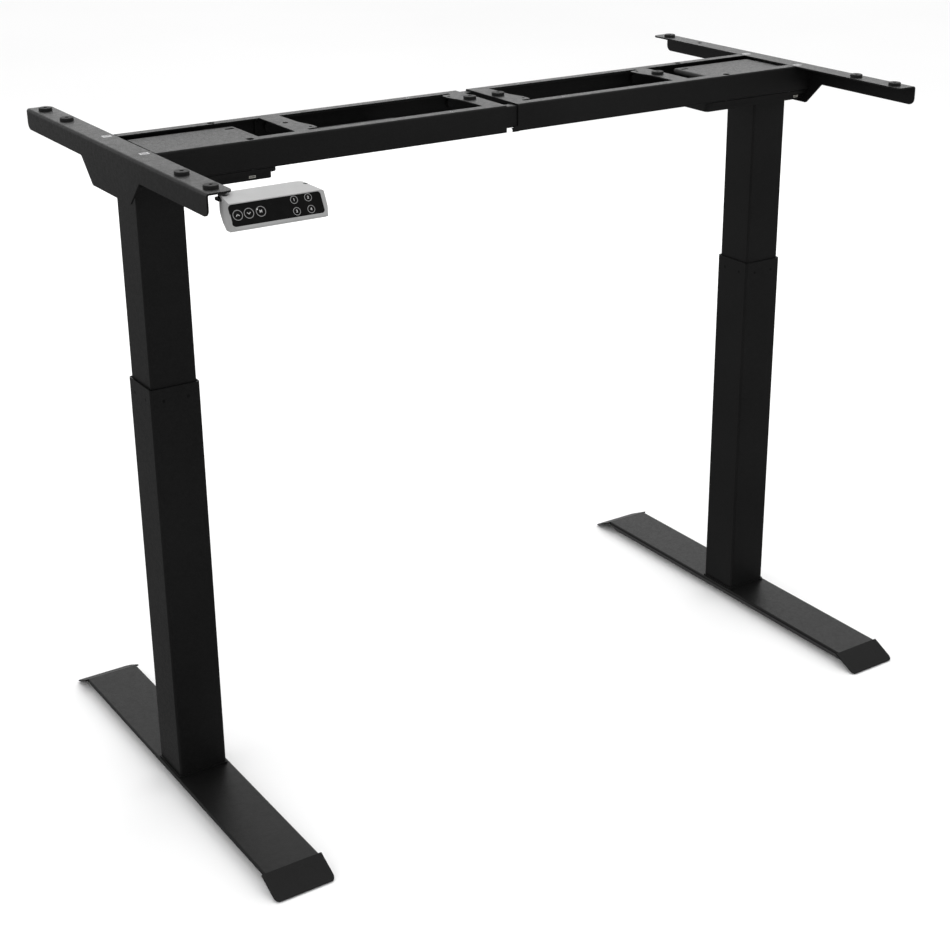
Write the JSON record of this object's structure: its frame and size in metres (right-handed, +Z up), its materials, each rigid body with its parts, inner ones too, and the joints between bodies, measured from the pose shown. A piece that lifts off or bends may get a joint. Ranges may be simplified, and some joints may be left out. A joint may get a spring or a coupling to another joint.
{
  "type": "height adjustable standing desk frame",
  "caption": "Electric sit-stand desk frame: telescopic columns on flat feet, width-adjustable beam, side brackets with rubber pads and a control handset.",
  "frame": {"origin": "bottom centre of the bounding box, on the floor midway between the two columns", "axes": "+X along the beam to the right-hand column as the user sees it, +Y away from the user, +Z up"},
  "size_m": [1.177, 0.716, 0.968],
  "materials": {
    "powder_coat": "fine textured black powder coat",
    "zinc": "bright zinc plated",
    "steel": "bare steel",
    "cast_metal": "die cast",
    "motor_can": "satin black",
    "black_plastic": "matt",
    "glide_plastic": "smooth",
    "nut_plastic": "machined",
    "gear_steel": "oiled",
    "grey_plastic": "fine grain",
    "panel_plastic": "smooth film",
    "board": "solder mask",
    "ivory_plastic": "moulded",
    "rubber": "moulded"
  },
  "bodies": {
    "left_base": {"foot_left": "powder_coat", "foot_bolts_left": "zinc", "base_plate_with_push_tube_left": "powder_coat", "lower_column_left": "powder_coat", "upper_glides_left": "glide_plastic", "spindle_nut_left": "nut_plastic"},
    "left_frame": {"upper_column_left": "powder_coat", "lower_glides_left": "glide_plastic", "spindle_bearing_left": "steel", "gearbox_left": "cast_metal", "motor_left": "motor_can", "motor_tray_left": "powder_coat", "motor_socket_left": "ivory_plastic", "head_plate_left": "powder_coat", "front_rail_left": "powder_coat", "back_rail_left": "powder_coat", "side_bracket_left": "powder_coat", "beam_screws_left": "zinc", "cross_plates_left": "powder_coat", "rubber_pads_left": "rubber", "slide_rail_front": "powder_coat", "slide_rail_back": "powder_coat", "control_box_case": "black_plastic", "control_box_lid": "black_plastic", "handset_case": "grey_plastic", "handset_panel": "panel_plastic", "handset_board": "board", "handset_tab": "powder_coat", "handset_screws": "zinc"},
    "left_spindle": {"spindle_left": "steel", "bevel_wheel_left": "gear_steel"},
    "left_pinion": {"bevel_pinion_left": "gear_steel"},
    "leveller_left_front": {"levelling_foot_left_front": "black_plastic"},
    "leveller_left_back": {"levelling_foot_left_back": "black_plastic"},
    "right_base": {"foot_right": "powder_coat", "foot_bolts_right": "zinc", "base_plate_with_push_tube_right": "powder_coat", "lower_column_right": "powder_coat", "upper_glides_right": "glide_plastic", "spindle_nut_right": "nut_plastic"},
    "right_frame": {"upper_column_right": "powder_coat", "lower_glides_right": "glide_plastic", "spindle_bearing_right": "steel", "gearbox_right": "cast_metal", "motor_right": "motor_can", "motor_tray_right": "powder_coat", "motor_socket_right": "ivory_plastic", "head_plate_right": "powder_coat", "front_rail_right": "powder_coat", "back_rail_right": "powder_coat", "side_bracket_right": "powder_coat", "beam_screws_right": "zinc", "cross_plates_right": "powder_coat", "rubber_pads_right": "rubber"},
    "right_spindle": {"spindle_right": "steel", "bevel_wheel_right": "gear_steel"},
    "right_pinion": {"bevel_pinion_right": "gear_steel"},
    "leveller_right_front": {"levelling_foot_right_front": "black_plastic"},
    "leveller_right_back": {"levelling_foot_right_back": "black_plastic"}
  },
  "joints": [
    {"name": "lift", "type": "slide", "parent": "left_base", "child": "left_frame", "axis": [0, 0, 1], "range_m": [-0.26, 0.22]},
    {"name": "width", "type": "slide", "parent": "left_frame", "child": "right_frame", "axis": [1, 0, 0], "range_m": [-0.01, 0.25]},
    {"name": "right_lift", "type": "slide", "parent": "right_frame", "child": "right_base", "axis": [0, 0, 1], "range_m": [-0.221, 0.261]},
    {"name": "left_spindle_turn", "type": "hinge", "parent": "left_frame", "child": "left_spindle", "pos_m": [-0.535, 0, 0.6], "axis": [0, 0, 1], "range_deg": [-7810, 6610]},
    {"name": "left_pinion_turn", "type": "hinge", "parent": "left_frame", "child": "left_pinion", "pos_m": [-0.515, 0, 0.9366], "axis": [-1, 0, 0], "range_deg": [-11720, 9920]},
    {"name": "level_left_front", "type": "slide", "parent": "left_base", "child": "leveller_left_front", "axis": [0, 0, -1], "range_m": [0, 0.01]},
    {"name": "level_left_back", "type": "slide", "parent": "left_base", "child": "leveller_left_back", "axis": [0, 0, -1], "range_m": [0, 0.01]},
    {"name": "right_spindle_turn", "type": "hinge", "parent": "right_frame", "child": "right_spindle", "pos_m": [0.535, 0, 0.6], "axis": [0, 0, 1], "range_deg": [-7810, 6610]},
    {"name": "right_pinion_turn", "type": "hinge", "parent": "right_frame", "child": "right_pinion", "pos_m": [0.515, 0, 0.9366], "axis": [1, 0, 0], "range_deg": [-11720, 9920]},
    {"name": "level_right_front", "type": "slide", "parent": "right_base", "child": "leveller_right_front", "axis": [0, 0, -1], "range_m": [0, 0.01]},
    {"name": "level_right_back", "type": "slide", "parent": "right_base", "child": "leveller_right_back", "axis": [0, 0, -1], "range_m": [0, 0.01]}
  ],
  "couplings": [
    {"joint": "right_lift", "follows": "lift", "ratio": -1},
    {"joint": "left_spindle_turn", "follows": "lift", "rad_per_m": 523.6},
    {"joint": "left_pinion_turn", "follows": "lift", "rad_per_m": 785.4},
    {"joint": "right_spindle_turn", "follows": "lift", "rad_per_m": 523.6},
    {"joint": "right_pinion_turn", "follows": "lift", "rad_per_m": 785.4}
  ]
}
